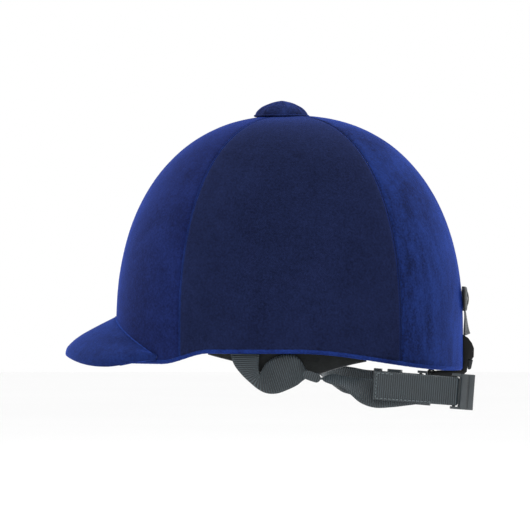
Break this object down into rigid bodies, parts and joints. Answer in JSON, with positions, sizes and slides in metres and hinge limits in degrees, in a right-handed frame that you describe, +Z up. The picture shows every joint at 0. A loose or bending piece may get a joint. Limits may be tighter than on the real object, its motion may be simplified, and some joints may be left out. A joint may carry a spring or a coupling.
{
  "type": "equestrian riding helmet",
  "caption": "Velvet-covered riding helmet with a peak, a crown button, a foam liner and a hinged webbing harness with a side-release buckle",
  "frame": {"origin": "centre of the head opening, level with the highest part of the rim", "axes": "+Z up, peak towards -X, wearer's left towards -Y"},
  "size_m": [0.306, 0.2332, 0.2306],
  "materials": {
    "velvet_side": "cut-pile velvet, dark navy",
    "velvet_front": "cut-pile velvet, navy",
    "velvet_rear": "cut-pile velvet, navy, pile brushed the other way",
    "velvet_peak": "cut-pile velvet, navy",
    "velvet_button": "cut-pile velvet, navy",
    "hem_cloth": "folded velvet edge, brighter blue",
    "shell_plastic": "moulded, matte",
    "foam": "expanded bead foam",
    "board": "moulded board, matte",
    "steel": "plated steel",
    "lining": "black brushed knit over soft foam",
    "flap_suede": "black suede",
    "webbing": "slate-grey woven webbing, fine cross ribs",
    "ring_metal": "dark coated wire",
    "buckle_plastic": "grey moulded plastic, satin",
    "ribbon": "black grosgrain ribbon",
    "bracket_plastic": "black moulded plastic, glossy"
  },
  "bodies": {
    "helmet": {"cover_front": "velvet_front", "cover_left": "velvet_side", "cover_right": "velvet_side", "cover_rear": "velvet_rear", "hem_binding": "hem_cloth", "outer_shell": "shell_plastic", "foam_liner": "foam", "peak_core": "board", "peak_top_cover": "velvet_peak", "peak_under_cover": "velvet_peak", "button_core": "shell_plastic", "button_cover": "velvet_button", "button_rivet": "steel", "button_washer": "steel", "crown_pad": "lining", "brow_pad": "lining", "temple_pad_left": "lining", "temple_pad_right": "lining", "rear_pad": "lining", "harness_rivets": "steel", "anchor_tabs_left": "flap_suede", "anchor_tabs_right": "flap_suede", "bow_loops": "ribbon", "bow_tails": "ribbon", "bow_knot": "ribbon", "nape_bracket": "bracket_plastic", "nape_rivets": "steel", "nape_webbing": "webbing"},
    "left_harness": {"ear_flap_left": "flap_suede", "loop_strap_left": "webbing", "strap_ring_left": "ring_metal"},
    "right_harness": {"ear_flap_right": "flap_suede", "loop_strap_right": "webbing", "strap_ring_right": "ring_metal"},
    "left_strap": {"chin_strap_left": "webbing", "buckle_socket": "buckle_plastic"},
    "right_strap": {"chin_strap_right": "webbing", "buckle_plug": "buckle_plastic"},
    "latch_upper": {"latch_arm_upper": "buckle_plastic"},
    "latch_lower": {"latch_arm_lower": "buckle_plastic"},
    "adjuster": {"strap_adjuster": "buckle_plastic"},
    "keeper": {"strap_keeper": "buckle_plastic"},
    "nape": {"nape_pad": "flap_suede"}
  },
  "joints": [
    {"name": "left_harness_swing", "type": "hinge", "parent": "helmet", "child": "left_harness", "pos_m": [0, -0.097, 0.005], "axis": [1, 0, 0], "range_deg": [-2, 32]},
    {"name": "right_harness_swing", "type": "hinge", "parent": "helmet", "child": "right_harness", "pos_m": [0, 0.097, 0.005], "axis": [-1, 0, 0], "range_deg": [-2, 32]},
    {"name": "left_strap_swing", "type": "hinge", "parent": "left_harness", "child": "left_strap", "pos_m": [0.019, -0.1075, -0.0205], "axis": [0, 1, 0], "range_deg": [-8, 95]},
    {"name": "right_strap_swing", "type": "hinge", "parent": "right_harness", "child": "right_strap", "pos_m": [0.019, 0.1075, -0.0205], "axis": [0, 1, 0], "range_deg": [-8, 95]},
    {"name": "latch_upper_flex", "type": "hinge", "parent": "right_strap", "child": "latch_upper", "pos_m": [0.10997, 0.09849, -0.02562], "axis": [0.1305, 0.9914, 0], "range_deg": [0, 9], "stiffness_Nm_per_rad": 0.1},
    {"name": "latch_lower_flex", "type": "hinge", "parent": "right_strap", "child": "latch_lower", "pos_m": [0.10901, 0.09861, -0.03879], "axis": [-0.1305, -0.9914, 0], "range_deg": [0, 9]},
    {"name": "adjuster_slide", "type": "slide", "parent": "right_strap", "child": "adjuster", "axis": [0.9888, -0.1302, -0.0732], "range_m": [-0.002, 0.01]},
    {"name": "keeper_slide", "type": "slide", "parent": "right_strap", "child": "keeper", "axis": [0.9888, -0.1302, -0.0732], "range_m": [-0.005, 0.002]},
    {"name": "nape_pad_swing", "type": "hinge", "parent": "helmet", "child": "nape", "pos_m": [0.1062, 0, -0.0184], "axis": [0, -1, 0], "range_deg": [-18, 25]}
  ],
  "couplings": [
    {"joint": "latch_lower_flex", "follows": "latch_upper_flex", "ratio": 1}
  ]
}
